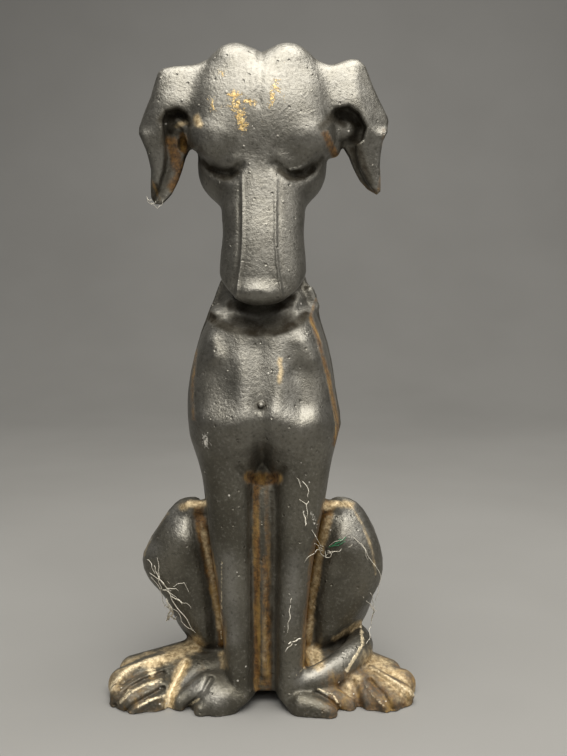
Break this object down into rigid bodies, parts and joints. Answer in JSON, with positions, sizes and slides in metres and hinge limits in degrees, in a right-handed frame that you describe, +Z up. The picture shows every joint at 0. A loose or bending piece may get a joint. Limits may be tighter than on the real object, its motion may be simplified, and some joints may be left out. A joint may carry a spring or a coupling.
{
  "type": "cast iron dog statue",
  "caption": "Upright seated hound cast in iron, head bowed with eyes closed, ears folded and tail curled round one hind foot; stands on its own flat underside.",
  "frame": {"origin": "centre of the bounding box in plan, at floor level under the feet", "axes": "+Z up from the feet to the crown; the face and chest look toward -Y; +X is the side the tail curls round"},
  "size_m": [0.194, 0.1278, 0.4],
  "materials": {
    "black_painted_iron": "worn satin black paint over sand-cast iron, with rust in the hollows and a few gold flecks on the forehead"
  },
  "bodies": {
    "root": {"dog_statue": "black_painted_iron"}
  },
  "joints": []
}
